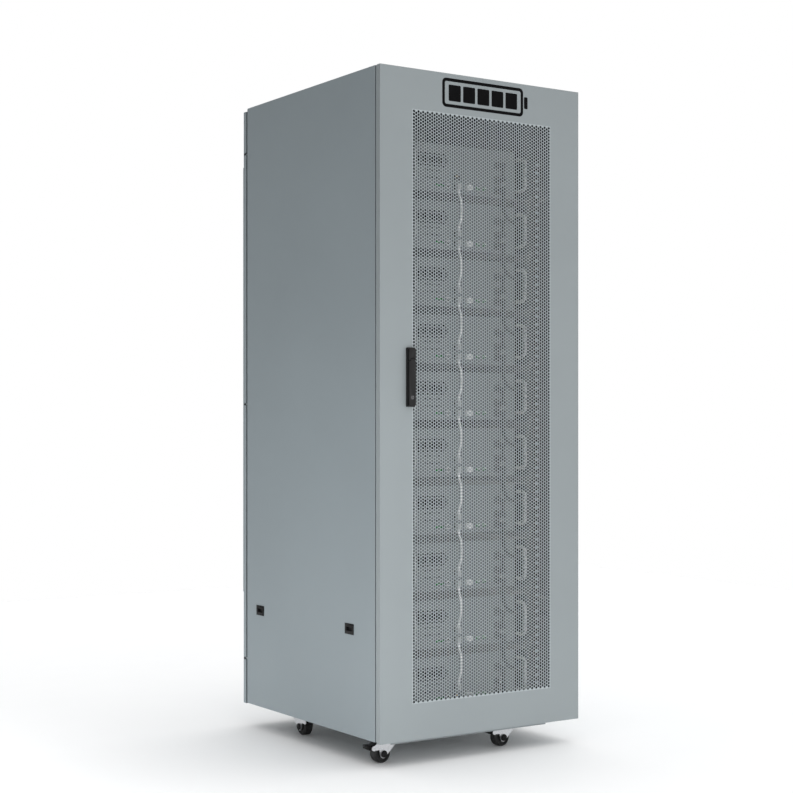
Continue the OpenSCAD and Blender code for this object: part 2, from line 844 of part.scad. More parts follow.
module_button(9);  // module_button_10
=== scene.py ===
"""Looks of the battery rack cabinet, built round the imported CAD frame.

Metres, +Z up, the front faces -Y, and +X is to the right seen from the front.
"""

import math

import bmesh
import bpy
from mathutils import Matrix, Vector


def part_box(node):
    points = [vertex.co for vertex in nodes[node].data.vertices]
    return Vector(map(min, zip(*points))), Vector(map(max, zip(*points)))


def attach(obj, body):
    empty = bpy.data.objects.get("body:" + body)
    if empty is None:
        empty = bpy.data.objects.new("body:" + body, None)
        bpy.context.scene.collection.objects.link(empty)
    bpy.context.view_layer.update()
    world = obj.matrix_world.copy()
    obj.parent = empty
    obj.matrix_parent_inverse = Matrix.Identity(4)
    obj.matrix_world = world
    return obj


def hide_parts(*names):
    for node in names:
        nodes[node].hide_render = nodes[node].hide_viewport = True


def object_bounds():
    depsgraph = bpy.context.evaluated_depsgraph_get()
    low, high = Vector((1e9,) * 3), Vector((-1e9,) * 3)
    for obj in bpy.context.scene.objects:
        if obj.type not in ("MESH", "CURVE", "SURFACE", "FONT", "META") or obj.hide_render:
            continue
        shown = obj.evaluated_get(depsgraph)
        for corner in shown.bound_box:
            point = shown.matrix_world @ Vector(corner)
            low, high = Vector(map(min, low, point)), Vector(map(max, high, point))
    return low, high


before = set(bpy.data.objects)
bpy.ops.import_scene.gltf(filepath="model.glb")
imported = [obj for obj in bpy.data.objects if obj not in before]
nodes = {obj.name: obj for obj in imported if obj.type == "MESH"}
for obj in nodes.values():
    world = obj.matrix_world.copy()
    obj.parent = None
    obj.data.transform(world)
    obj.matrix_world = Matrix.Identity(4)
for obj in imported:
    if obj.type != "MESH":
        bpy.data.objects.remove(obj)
cad_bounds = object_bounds()

MODULES = 10
CORNERS = ("fl", "fr", "rl", "rr")

# ---------- places that the CAD model settles ----------

FACE_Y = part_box("module_faceplates")[0].y      # front of the module fronts
DOOR_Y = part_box("front_door")[0].y             # front of the front door
DOOR_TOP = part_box("front_door")[1].z

# Places on a module's front: x from the cabinet's middle, z from the module's underside
LOW_Z = 0.017
HIGH_Z = 0.040
PORT_X = -0.019
PLUG_X = 0.016
BUTTON_X = -0.044
GREEN_X = (0.043, 0.063)
LENS_X = (-0.0795, -0.0735, -0.0675, -0.0615)
EAR_X = 0.162                                  # inner edge of a module's dark ears
FAN_X = 0.125                                  # on a module's back
TERMINAL_X = 0.107
TERMINAL_Z = (0.018, 0.042, 0.078)
TERMINAL_OUT = 0.017

# Power leads: they hang in one plane, loop down, and turn into the trunk
LEAD_Y = FACE_Y - 0.023
LEAD_X = TERMINAL_X + 0.002
LEAD_R = 0.005
LOOP_R = 0.038
LOOP_Z = -0.026                                # middle of the loop, from the module's underside
LAST_LOOP_Z = 0.035
LEAD_TURN = 0.040                              # radius of the turn
LEAD_TURN_BY = 57                              # degrees: the lead ends inside the trunk

# Patch leads and their plugs
PATCH_R = 0.00275
PATCH_OUT = 0.007                              # out from a module's front, at the plugs
PATCH_BOW = 0.009                              # how much further out halfway
PATCH_STEPS = 24
PLUG_NEAR = 0.0023                             # gap between a module's front and a plug's body
PLUG_DEPTH = 0.011
PLUG_HEIGHT = 0.014


def module_floor(i):
    """Underside of module i, counted from the top, from 1."""
    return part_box(f"battery_module_{i:02d}")[0].z


def module_height(i):
    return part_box(f"battery_module_{i:02d}")[1].z - module_floor(i)


def shared_node(name, i):
    """What module i's piece replaces. The node holds one part of every module, and the first piece names it."""
    return (name,) if i == 1 else ()


# ---------- camera, lights and floor ----------

CAMERA_AT = (-2.3213, -3.4577, 0.818)
CAMERA_YAW = math.radians(-33.5)
LENS = 72.41
SHIFT_Y = 0.0296
FLOOR_SIZE = 7
FLOOR_T = 0.02


def make_camera():
    """A level camera at the front left. Its shift frames the cabinet and keeps the uprights upright."""
    data = bpy.data.cameras.new("camera")
    data.lens = LENS
    data.sensor_width = 36
    data.shift_y = SHIFT_Y
    cam = bpy.data.objects.new("camera", data)
    cam.location = CAMERA_AT
    cam.rotation_euler = (math.radians(90), 0, CAMERA_YAW)
    bpy.context.scene.collection.objects.link(cam)
    bpy.context.scene.camera = cam


def area_light(name, place, target, size, power):
    """A rectangular light turned towards a point. The camera doesn't see the light itself."""
    data = bpy.data.lights.new(name, "AREA")
    data.shape = "RECTANGLE"
    data.size, data.size_y = size
    data.energy = power
    light = bpy.data.objects.new(name, data)
    light.location = place
    light.rotation_euler = (Vector(target) - Vector(place)).to_track_quat("-Z", "Y").to_euler()
    light.visible_camera = False
    bpy.context.scene.collection.objects.link(light)


def make_world(left, right, above):
    """A white studio: its light grows from the left (-X) to the right (+X) and towards the zenith."""
    world = bpy.data.worlds.new("studio")
    bpy.context.scene.world = world
    world.use_nodes = True
    tree = world.node_tree
    direction = tree.nodes.new("ShaderNodeTexCoord").outputs["Generated"]
    split = tree.nodes.new("ShaderNodeSeparateXYZ")
    tree.links.new(direction, split.inputs["Vector"])
    ramp = tree.nodes.new("ShaderNodeMapRange")
    ramp.inputs["From Min"].default_value = -1
    ramp.inputs["To Min"].default_value = left
    ramp.inputs["To Max"].default_value = right
    tree.links.new(split.outputs["X"], ramp.inputs["Value"])
    high = tree.nodes.new("ShaderNodeMath")
    high.operation = "MULTIPLY"
    high.use_clamp = True
    tree.links.new(split.outputs["Z"], high.inputs[0])
    tree.links.new(split.outputs["Z"], high.inputs[1])
    sky = tree.nodes.new("ShaderNodeMath")
    sky.operation = "MULTIPLY_ADD"
    sky.inputs[1].default_value = above
    tree.links.new(high.outputs[0], sky.inputs[0])
    tree.links.new(ramp.outputs["Result"], sky.inputs[2])
    tree.links.new(sky.outputs[0], tree.nodes["Background"].inputs["Strength"])
    tree.nodes["Background"].inputs["Color"].default_value = (1, 1, 1, 1)
    wall = tree.nodes.new("ShaderNodeBackground")
    wall.inputs["Color"].default_value = (1, 1, 1, 1)
    mix = tree.nodes.new("ShaderNodeMixShader")
    tree.links.new(tree.nodes.new("ShaderNodeLightPath").outputs["Is Camera Ray"], mix.inputs[0])
    tree.links.new(tree.nodes["Background"].outputs[0], mix.inputs[1])
    tree.links.new(wall.outputs[0], mix.inputs[2])
    tree.links.new(mix.outputs[0], tree.nodes["World Output"].inputs["Surface"])
    bpy.context.scene.view_settings.view_transform = "Standard"


# ---------- materials ----------

NOISE_LOW, NOISE_HIGH = 0.3, 0.7               # most of a noise texture lies between these
PAINTED_INTERIOR_SHADE = (0.11, 0.16)                 # painted shade of the cabinet's interior, as factors of the outer colour
MIX_A, MIX_B, MIX_RESULT = 6, 7, 2             # a mix node's sockets for colours


class Shader:
    """A node material: one Principled shader, and helpers that link textures into it."""

    def __init__(self, name, roughness=0.5, metallic=0.0):
        self.material = bpy.data.materials.new(name)
        self.material.use_nodes = True
        self.tree = self.material.node_tree
        self.tree.nodes.clear()
        out = self.tree.nodes.new("ShaderNodeOutputMaterial")
        self.shader = self.tree.nodes.new("ShaderNodeBsdfPrincipled")
        self.link(self.shader.outputs["BSDF"], out.inputs["Surface"])
        self.set("Roughness", roughness)
        self.set("Metallic", metallic)
        self.place = self.tree.nodes.new("ShaderNodeTexCoord").outputs["Object"]

    def set(self, socket, value):
        self.shader.inputs[socket].default_value = value

    def link(self, a, b):
        self.tree.links.new(a, b)

    def stretched(self, scale):
        """Object coordinates, scaled along each axis."""
        node = self.tree.nodes.new("ShaderNodeMapping")
        node.inputs["Scale"].default_value = scale
        self.link(self.place, node.inputs["Vector"])
        return node.outputs["Vector"]

    def noise(self, scale, detail=3.0, rough=0.5, place=None):
        """A cloud texture, in object coordinates unless place says otherwise."""
        node = self.tree.nodes.new("ShaderNodeTexNoise")
        node.inputs["Scale"].default_value = scale
        node.inputs["Detail"].default_value = detail
        node.inputs["Roughness"].default_value = rough
        self.link(place or self.place, node.inputs["Vector"])
        return node.outputs["Fac"]

    def cells(self, scale):
        """A texture of irregular cells."""
        node = self.tree.nodes.new("ShaderNodeTexVoronoi")
        node.inputs["Scale"].default_value = scale
        self.link(self.place, node.inputs["Vector"])
        return node

    def spread(self, value, low, high):
        """Turns the usual range of a noise into low to high."""
        node = self.tree.nodes.new("ShaderNodeMapRange")
        node.inputs["From Min"].default_value = NOISE_LOW
        node.inputs["From Max"].default_value = NOISE_HIGH
        node.inputs["To Min"].default_value = low
        node.inputs["To Max"].default_value = high
        self.link(value, node.inputs["Value"])
        return node.outputs["Result"]

    def colour(self, value, low, high, lo_in=NOISE_LOW, hi_in=NOISE_HIGH):
        """Colour low where the value is at most lo_in, high from hi_in on, and between them a ramp."""
        ramp = self.tree.nodes.new("ShaderNodeValToRGB")
        ramp.color_ramp.elements[0].position = lo_in
        ramp.color_ramp.elements[1].position = hi_in
        ramp.color_ramp.elements[0].color = (*low, 1)
        ramp.color_ramp.elements[1].color = (*high, 1)
        self.link(value, ramp.inputs["Fac"])
        return ramp.outputs["Color"]

    def bump(self, height, distance):
        """Relief that is distance metres high where height is 1."""
        node = self.tree.nodes.new("ShaderNodeBump")
        node.inputs["Strength"].default_value = 1
        node.inputs["Distance"].default_value = distance
        self.link(height, node.inputs["Height"])
        self.link(node.outputs["Normal"], self.shader.inputs["Normal"])

    def math(self, operation, a, b):
        """A sum on two values, each a number or an output of a node."""
        node = self.tree.nodes.new("ShaderNodeMath")
        node.operation = operation
        for socket, value in zip(node.inputs, (a, b)):
            if isinstance(value, (int, float)):
                socket.default_value = value
            else:
                self.link(value, socket)
        return node.outputs[0]

    def within(self, lo, hi):
        """1 inside a box and 0 outside it."""
        split = self.tree.nodes.new("ShaderNodeSeparateXYZ")
        self.link(self.place, split.inputs[0])
        inside = 1
        for axis in range(3):
            above = self.math("GREATER_THAN", split.outputs[axis], lo[axis])
            below = self.math("LESS_THAN", split.outputs[axis], hi[axis])
            inside = self.math("MULTIPLY", inside, self.math("MULTIPLY", above, below))
        return inside

    def blend(self, factor, a, b):
        """Colour a where the factor is 0, and b where it is 1."""
        node = self.tree.nodes.new("ShaderNodeMix")
        node.data_type = "RGBA"
        self.link(factor, node.inputs["Factor"])
        for value, socket in ((a, MIX_A), (b, MIX_B)):
            self.link(value, node.inputs[socket])
        return node.outputs[MIX_RESULT]

    def base(self, colour_output):
        self.link(colour_output, self.shader.inputs["Base Color"])

    def rough(self, value_output):
        self.link(value_output, self.shader.inputs["Roughness"])


def shade(rgb, factor):
    """The colour made darker or lighter."""
    return tuple(min(1.0, c * factor) for c in rgb)


def powder_coat(name, rgb, roughness=0.48, grain=0.00005, inside=None, gloss=0.42):
    """Baked powder paint: a fine orange peel, with faint clouds in colour and gloss.

    inside is a box: faces in it get painted shade, a much darker copy of the colour that stands in for the
    shade inside the cabinet.
    """
    s = Shader(name)
    clouds = s.noise(2.3, detail=4)
    outer = s.colour(clouds, shade(rgb, 0.965), shade(rgb, 1.03))
    if inside:
        # painted shade: inside the box the paint is made much darker, for the shade inside the cabinet
        dark = s.colour(clouds, *(shade(rgb, factor) for factor in PAINTED_INTERIOR_SHADE))
        s.base(s.blend(s.within(*inside), outer, dark))
    else:
        s.base(outer)
    s.rough(s.spread(s.noise(9, detail=5), roughness - 0.05, roughness + 0.06))
    s.bump(s.noise(1300, detail=2), grain)
    s.set("Specular IOR Level", gloss)
    return s.material


def studio_floor():
    """Plain pale floor, almost even."""
    s = Shader("floor", roughness=0.7)
    s.base(s.colour(s.noise(6, detail=3), (0.945, 0.950, 0.955), (0.955, 0.960, 0.965)))
    return s.material


def zinc_plate(name, rgb):
    """Bright zinc: metal with soft spangle and fine drawing lines."""
    s = Shader(name, metallic=0.9)
    spangle = s.cells(420).outputs["Color"]
    grey = s.tree.nodes.new("ShaderNodeRGBToBW")
    s.link(spangle, grey.inputs["Color"])
    s.base(s.colour(grey.outputs["Val"], shade(rgb, 0.9), shade(rgb, 1.08), 0.1, 0.9))
    s.rough(s.spread(s.noise(55, detail=5), 0.26, 0.44))
    s.bump(s.noise(900, detail=2, place=s.stretched((1, 1, 0.08))), 0.00002)
    return s.material


def moulded(name, rgb, roughness=0.45, grain=0.00004, grain_scale=2600, clearcoat=0.0, gloss=0.5):
    """Moulded plastic with a spark-eroded grain."""
    s = Shader(name)
    s.base(s.colour(s.noise(35, detail=4), shade(rgb, 0.86), shade(rgb, 1.14)))
    s.rough(s.spread(s.noise(120, detail=4), roughness - 0.06, roughness + 0.08))
    s.bump(s.noise(grain_scale, detail=3), grain)
    s.set("Coat Weight", clearcoat)
    s.set("Specular IOR Level", gloss)
    return s.material


def rubber(name, rgb, grain_scale=1500):
    """Cable jacket or tread: dull, slightly dusty black."""
    s = Shader(name)
    s.base(s.colour(s.noise(60, detail=6, rough=0.6), shade(rgb, 0.75), shade(rgb, 1.5)))
    s.rough(s.spread(s.noise(25, detail=5), 0.5, 0.72))
    s.bump(s.noise(grain_scale, detail=3), 0.00005)
    return s.material


def glowing(name, rgb, strength):
    """A lit lens, faintly mottled."""
    s = Shader(name, roughness=0.2)
    mottled = s.colour(s.noise(700), shade(rgb, 0.8), rgb)
    s.base(mottled)
    s.link(mottled, s.shader.inputs["Emission Color"])
    s.set("Emission Strength", strength)
    return s.material


def contact_metal(name, rgb, roughness=0.25):
    """Plated or polished metal of small parts."""
    s = Shader(name, metallic=1.0)
    s.base(s.colour(s.noise(400, detail=4), shade(rgb, 0.85), shade(rgb, 1.1)))
    s.rough(s.spread(s.noise(300, detail=5), roughness, roughness + 0.15))
    s.bump(s.noise(1800), 0.00002)
    return s.material


def printed(name, rgb):
    """Screen-printed ink."""
    s = Shader(name)
    s.set("Specular IOR Level", 0.04)
    s.base(s.colour(s.noise(80, detail=4), shade(rgb, 0.8), shade(rgb, 1.25)))
    s.rough(s.spread(s.noise(40), 0.38, 0.5))
    s.bump(s.noise(1600), 0.00002)
    return s.material


SHELL = (0.308, 0.344, 0.357)
# painted shade: the side panels, roof and rear door get a darker, bluer copy of the shell's paint, for the
# shade on the cabinet's sides
SHADED_PANEL = (0.286, 0.333, 0.356)
# painted shade: the module fronts are darkened to stand in for the shade they get inside the cabinet
SHADED_MODULE = (0.125, 0.140, 0.148)

# The painted interior shade starts this far in from the outer faces of the shell and of the frame ring
SKIN = 0.0008
REAR_SKIN = 0.004
RING_SIDE = 0.012
RING_TOP = 0.003

cabinet_lo, cabinet_hi = cad_bounds
left_x, right_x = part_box("side_panel_left")[0].x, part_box("side_panel_right")[1].x
rear_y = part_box("rear_door")[1].y
interior = ((left_x + SKIN, DOOR_Y + SKIN, 0),
            (right_x - SKIN, rear_y - REAR_SKIN, cabinet_hi[2] - SKIN))
ring_core = ((cabinet_lo[0] + RING_SIDE, DOOR_Y, 0),
             (cabinet_hi[0] - RING_SIDE, cabinet_hi[1], cabinet_hi[2] - RING_TOP))

shell_paint = powder_coat("shell_paint", SHELL)
# painted shade twice over: the darker, bluer panel colour outside, and the much darker inside faces
shaded_panel_paint = powder_coat("shaded_panel_paint", SHADED_PANEL, inside=interior)
frame_paint = powder_coat("frame_paint", shade(SHELL, 0.95), 0.5)
# painted light and shade: the frame ring is a lighter copy of the shell's paint, for light that the narrow gap
# between door and side panels doesn't get; inside ring_core it carries the painted interior shade
ring_paint_painted_light_and_shade = powder_coat("ring_paint_painted_light_and_shade", shade(SHELL, 1.2), 0.5, inside=ring_core)
# painted highlight: the perforated sheet is a lighter copy of the shell's paint, for the highlights on the webs
# between its holes
mesh_paint = powder_coat("mesh_paint", shade(SHELL, 1.38), 0.45)
module_paint = powder_coat("module_paint", SHADED_MODULE, 0.42)
case_paint = powder_coat("case_paint", (0.016, 0.017, 0.018), 0.5, gloss=0.3)
ear_paint = powder_coat("ear_paint", (0.008, 0.008, 0.009), 0.6, gloss=0.12)
zinc = zinc_plate("zinc", (0.66, 0.67, 0.69))
black_plastic = moulded("black_plastic", (0.013, 0.013, 0.0135), 0.42, gloss=0.25)
latch_plastic = moulded("latch_plastic", (0.005, 0.005, 0.0055), 0.5, gloss=0.2)
duct_plastic = moulded("duct_plastic", (0.20, 0.25, 0.29), 0.45)
white_plastic = moulded("white_plastic", (0.80, 0.80, 0.79), 0.35, grain=0.00002)
green_plastic = moulded("green_plastic", (0.012, 0.14, 0.035), 0.35, grain=0.00002)
terminal_plastic = moulded("terminal_plastic", (0.022, 0.022, 0.024), 0.38)
lead_rubber = rubber("lead_rubber", (0.016, 0.016, 0.017))
clear_plastic = moulded("clear_plastic", (0.42, 0.43, 0.43), 0.2, grain=0.00001)
boot_plastic = moulded("boot_plastic", (0.55, 0.555, 0.555), 0.4)
white_jacket = moulded("white_jacket", (0.84, 0.84, 0.83), 0.42, grain=0.00003)
tread_rubber = rubber("tread_rubber", (0.006, 0.006, 0.0065), grain_scale=1900)
film_blue = moulded("film_blue", (0.03, 0.12, 0.33), 0.25, clearcoat=0.4)
lock_metal = contact_metal("lock_metal", (0.16, 0.16, 0.165), 0.2)
grip_metal = contact_metal("grip_metal", (0.46, 0.47, 0.48), 0.2)
gold = contact_metal("gold", (0.85, 0.62, 0.25))
steel = contact_metal("steel", (0.6, 0.61, 0.62), 0.3)
ink = printed("ink", (0.004, 0.004, 0.0045))
grey_ink = printed("grey_ink", (0.03, 0.032, 0.035))
lens_green = moulded("lens_green", (0.006, 0.06, 0.010), 0.2, grain=0.00001)
green_glow = glowing("green_glow", (0.01, 0.16, 0.03), 0.15)


# ---------- mesh tools ----------

# Turns (u, v, w) into (x, y, z), with w along the named axis
AXIS_TURNS = {
    "X": Matrix(((0, 0, 1), (1, 0, 0), (0, 1, 0))),
    "Y": Matrix(((1, 0, 0), (0, 0, 1), (0, 1, 0))),
}
QUARTERS = ((1, 1), (-1, 1), (-1, -1), (1, -1))
FORWARD = (0, -1, 0)
BACKWARD = (0, 1, 0)
UP = (0, 0, 1)
SHARP_EDGE = math.radians(38)
SHARP_CAD_EDGE = math.radians(32)
ROUNDED_EDGE = math.radians(40)
FINE_BEVEL = 0.0004
SOFT_BEVEL = 0.0006


def rounded_loop(width, height, radius, centre=(0, 0), steps=5):
    """Corners of a rounded rectangle, anticlockwise, as (u, v) points."""
    points = []
    for k, (sx, sy) in enumerate(QUARTERS):
        cx = centre[0] + sx * (width / 2 - radius)
        cy = centre[1] + sy * (height / 2 - radius)
        for i in range(steps + 1):
            t = math.radians(90) * (k + i / steps)
            points.append((cx + radius * math.cos(t), cy + radius * math.sin(t)))
    return points


def round_loop(radius, centre=(0, 0), sides=32):
    """Corners of a regular polygon, anticlockwise, as (u, v) points."""
    turn = 2 * math.pi / sides
    return [(centre[0] + radius * math.cos(turn * i), centre[1] + radius * math.sin(turn * i))
            for i in range(sides)]


class Solids:
    """Collects closed solids of several materials into one object."""

    def __init__(self):
        self.verts = []
        self.faces = []
        self.face_material = []
        self.materials = []

    def _add(self, verts, faces, material):
        if material not in self.materials:
            self.materials.append(material)
        start = len(self.verts)
        self.verts += [tuple(v) for v in verts]
        self.faces += [[start + i for i in f] for f in faces]
        self.face_material += [self.materials.index(material)] * len(faces)

    def prism(self, loop, axis, near, far, material, chamfer=0.0):
        """A 2D loop extruded along an axis, with an optional small chamfer round both ends."""
        turn = AXIS_TURNS[axis]
        levels = [(near, 0.0), (far, 0.0)]
        if chamfer:
            step = math.copysign(chamfer, far - near)
            levels = [(near, chamfer), (near + step, 0.0), (far - step, 0.0), (far, chamfer)]
        cu = sum(p[0] for p in loop) / len(loop)
        cv = sum(p[1] for p in loop) / len(loop)
        half_u = max(abs(p[0] - cu) for p in loop)
        half_v = max(abs(p[1] - cv) for p in loop)
        verts = []
        for w, inset in levels:
            ku, kv = 1 - inset / half_u, 1 - inset / half_v
            verts += [turn @ Vector((cu + (u - cu) * ku, cv + (v - cv) * kv, w)) for u, v in loop]
        n = len(loop)
        faces = [list(range(n)), list(range(len(verts) - n, len(verts)))]
        for k in range(len(levels) - 1):
            faces += [[k * n + i, k * n + (i + 1) % n, (k + 1) * n + (i + 1) % n, (k + 1) * n + i]
                      for i in range(n)]
        self._add(verts, faces, material)

    def frame(self, outer, inner, axis, near, far, material):
        """The space between two loops of equal length, extruded along an axis."""
        turn = AXIS_TURNS[axis]
        n = len(outer)
        verts = []
        for w in (near, far):
            for loop in (outer, inner):
                verts += [turn @ Vector((u, v, w)) for u, v in loop]
        faces = []
        for i in range(n):
            j = (i + 1) % n
            faces.append([i, j, n + j, n + i])
            faces.append([2 * n + i, 2 * n + j, 3 * n + j, 3 * n + i])
            faces.append([i, j, 2 * n + j, 2 * n + i])
            faces.append([n + i, n + j, 3 * n + j, 3 * n + i])
        self._add(verts, faces, material)

    def box(self, lo, hi, material, chamfer=0.0):
        """A box between two corners. Its chamfer goes round the front and the back."""
        size = Vector(hi) - Vector(lo)
        mid = (Vector(hi) + Vector(lo)) / 2
        loop = [(mid.x + sx * size.x / 2, mid.z + sz * size.z / 2) for sx, sz in QUARTERS]
        self.prism(loop, "Y", lo[1], hi[1], material, chamfer)

    def lathe(self, profile, centre, direction, material, sides=32):
        """Turns (radius, height) points round a direction. A radius of 0 is a pole."""
        turn = Vector(direction).to_track_quat("Z", "Y").to_matrix()
        verts, rings = [], []
        for r, h in profile:
            if r == 0:
                rings.append([len(verts)])
                verts.append(Vector(centre) + turn @ Vector((0, 0, h)))
                continue
            rings.append(list(range(len(verts), len(verts) + sides)))
            verts += [Vector(centre) + turn @ Vector((u, v, h)) for u, v in round_loop(r, sides=sides)]
        faces = []
        closed = profile[0][0] > 0
        pairs = list(zip(rings, rings[1:])) + ([(rings[-1], rings[0])] if closed else [])
        for a, b in pairs:
            for i in range(sides):
                j = (i + 1) % sides
                face = [a[i % len(a)], a[j % len(a)], b[j % len(b)], b[i % len(b)]]
                faces.append(list(dict.fromkeys(face)))
        self._add(verts, faces, material)

    def made(self, name):
        """The object, with its edges kept sharp where they turn by more than SHARP_EDGE."""
        mesh = bpy.data.meshes.new(name)
        mesh.from_pydata(self.verts, [], self.faces)
        for m in self.materials:
            mesh.materials.append(m)
        mesh.polygons.foreach_set("material_index", self.face_material)
        bm = bmesh.new()
        bm.from_mesh(mesh)
        bmesh.ops.recalc_face_normals(bm, faces=bm.faces)
        bm.to_mesh(mesh)
        bm.free()
        mesh.polygons.foreach_set("use_smooth", [True] * len(mesh.polygons))
        mesh.set_sharp_from_angle(angle=SHARP_EDGE)
        piece = bpy.data.objects.new(name, mesh)
        bpy.context.scene.collection.objects.link(piece)
        return piece

    def done(self, name, body, replaces=()):
        return settle(self.made(name), body, replaces)


def settle(piece, body, replaces=()):
    """Says what the piece rides on, and hides the CAD nodes it stands for."""
    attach(piece, body)
    if replaces:
        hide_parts(*replaces)
    return piece


def cable(name, points, radius, material, body):
    """A round cable along a list of points."""
    data = bpy.data.curves.new(name, "CURVE")
    data.dimensions = "3D"
    data.bevel_depth = radius
    data.bevel_resolution = 4
    data.use_fill_caps = True
    spline = data.splines.new("POLY")
    spline.points.add(len(points) - 1)
    for p, at in zip(spline.points, points):
        p.co = (*at, 1)
    data.materials.append(material)
    piece = bpy.data.objects.new(name, data)
    bpy.context.scene.collection.objects.link(piece)
    settle(piece, body, ())
    return piece


def arc(centre, u, v, radius, start, end, steps=10):
    """Points on an arc: start and end in degrees from u towards v."""
    points = []
    for i in range(steps + 1):
        t = math.radians(start + (end - start) * i / steps)
        points.append(Vector(centre) + Vector(u) * radius * math.cos(t) + Vector(v) * radius * math.sin(t))
    return points


def dress(names, material, bevel=0.0):
    """Gives CAD nodes a material and, where wanted, a small rounded edge."""
    for name in names:
        node = nodes[name]
        node.data.materials.clear()
        node.data.materials.append(material)
        if bevel:
            weld = node.modifiers.new("weld", "WELD")
            weld.merge_threshold = 1e-6
            edge = node.modifiers.new("edge", "BEVEL")
            edge.width = bevel
            edge.segments = 2
            edge.limit_method = "ANGLE"
            edge.angle_limit = ROUNDED_EDGE
            edge.harden_normals = True
        node.data.polygons.foreach_set("use_smooth", [True] * len(node.data.polygons))
        node.data.set_sharp_from_angle(angle=SHARP_CAD_EDGE)


# ---------- perforated sheet ----------

PITCH = 0.0076
HOLE_R = 0.0032
HOLE_SIDES = 12
PLAIN_EDGE = 0.0004
SHEET_T = 0.0008
BANDS = 4


class Sheet:
    """Flat faces in the plane of the door, thickened into a closed solid."""

    def __init__(self):
        self.points = []
        self.index = {}
        self.faces = []

    def point(self, x, z):
        """Index of the point, the same for places that agree to a ten-thousandth of a millimetre."""
        key = (round(x * 1e7), round(z * 1e7))
        if key not in self.index:
            self.index[key] = len(self.points)
            self.points.append((x, z))
        return self.index[key]

    def face(self, *corners):
        self.faces.append([self.point(x, z) for x, z in corners])

    def holed_cell(self, x, z, side):
        """A hexagon round one hole."""
        outer = round_loop(side, (x, z), 6)
        hole = round_loop(HOLE_R, (x, z), HOLE_SIDES)
        for k in range(6):
            rim = hole[(2 * k + 2) % HOLE_SIDES], hole[2 * k + 1], hole[2 * k]
            self.face(outer[k], outer[(k + 1) % 6], *rim)

    def solid(self, name, front, back, material):
        """The faces at front and back, with walls along every open edge."""
        n = len(self.points)
        verts = [(x, front, z) for x, z in self.points] + [(x, back, z) for x, z in self.points]
        edges = {(f[i], f[(i + 1) % len(f)]) for f in self.faces for i in range(len(f))}
        walls = [[b, a, a + n, b + n] for a, b in sorted(edges) if (b, a) not in edges]
        backs = [[i + n for i in reversed(f)] for f in self.faces]
        mesh = bpy.data.meshes.new(name)
        mesh.from_pydata(verts, [], self.faces + backs + walls)
        mesh.materials.append(material)
        piece = bpy.data.objects.new(name, mesh)
        bpy.context.scene.collection.objects.link(piece)
        return piece


def perforated_door():
    """Round holes in a staggered pattern, in bands from the bottom to the top."""
    lo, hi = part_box("front_door_mesh")
    side = PITCH / math.sqrt(3)                # of the hexagon round a hole
    step = 1.5 * side
    columns = int((hi.x - lo.x - 2 * PLAIN_EDGE - 2 * side) / step) // 2 * 2 + 1
    rows = int((hi.z - lo.z - 2 * PLAIN_EDGE) / PITCH)
    x0 = (lo.x + hi.x - (columns - 1) * step) / 2
    z0 = (lo.z + hi.z - (rows - 1) * PITCH) / 2
    half = PITCH / 2

    def margin(outline, edge_x=None, edge_z=None):
        """Plain strip from a zigzag outline to the straight edge of the sheet."""
        for (xa, za), (xb, zb) in zip(outline, outline[1:]):
            edge_a = (edge_x if edge_x is not None else xa, edge_z if edge_z is not None else za)
            edge_b = (edge_x if edge_x is not None else xb, edge_z if edge_z is not None else zb)
            sheet.face((xa, za), (xb, zb), edge_b, edge_a)

    for band in range(BANDS):
        sheet = Sheet()
        first, last = rows * band // BANDS, rows * (band + 1) // BANDS
        for c in range(columns):
            odd = c % 2
            for r in range(first, last - (odd and last == rows)):
                sheet.holed_cell(x0 + c * step, z0 + r * PITCH + odd * half, side)
        for sign, column, edge in ((-1, 0, lo.x), (1, columns - 1, hi.x)):
            x = x0 + column * step
            outline = [(x + sign * side / 2, z0 + first * PITCH - half)]
            for r in range(first, last):
                z = z0 + r * PITCH
                outline += [(x + sign * side, z), (x + sign * side / 2, z + half)]
            margin(outline if sign > 0 else outline[::-1], edge_x=edge)
        for sign, row, edge, at_end in ((-1, 0, lo.z, band == 0), (1, rows - 1, hi.z, band == BANDS - 1)):
            if not at_end:
                continue
            z = z0 + row * PITCH
            outline = []
            for c in range(columns):
                x = x0 + c * step
                level = z if c % 2 else z + sign * half
                outline += [(x - side / 2, level), (x + side / 2, level)]
            outline = [(lo.x, outline[0][1])] + outline + [(hi.x, outline[-1][1])]
            margin(outline if sign < 0 else outline[::-1], edge_z=edge)
        piece = sheet.solid(f"perforated_sheet_{band + 1}", lo.y, lo.y + SHEET_T, mesh_paint)
        replaced = ("front_door_mesh",) if band == 0 else ()
        settle(piece, "front_door", replaced)


# ---------- printed marks ----------

INK_T = 0.00012
DOOR_MARK = (0.245, 0.070)                     # width and height of the battery signs
MODULE_MARK = (0.150, 0.032)
MODULE_MARK_AT = (-0.128, 0.078)               # in x, and above the module's underside
DASH_ROWS = (0.052, 0.034)                     # above the module's underside
DASHES = ((-0.112, 0.012), (-0.095, 0.014), (-0.075, 0.018))  # middle in x, and width


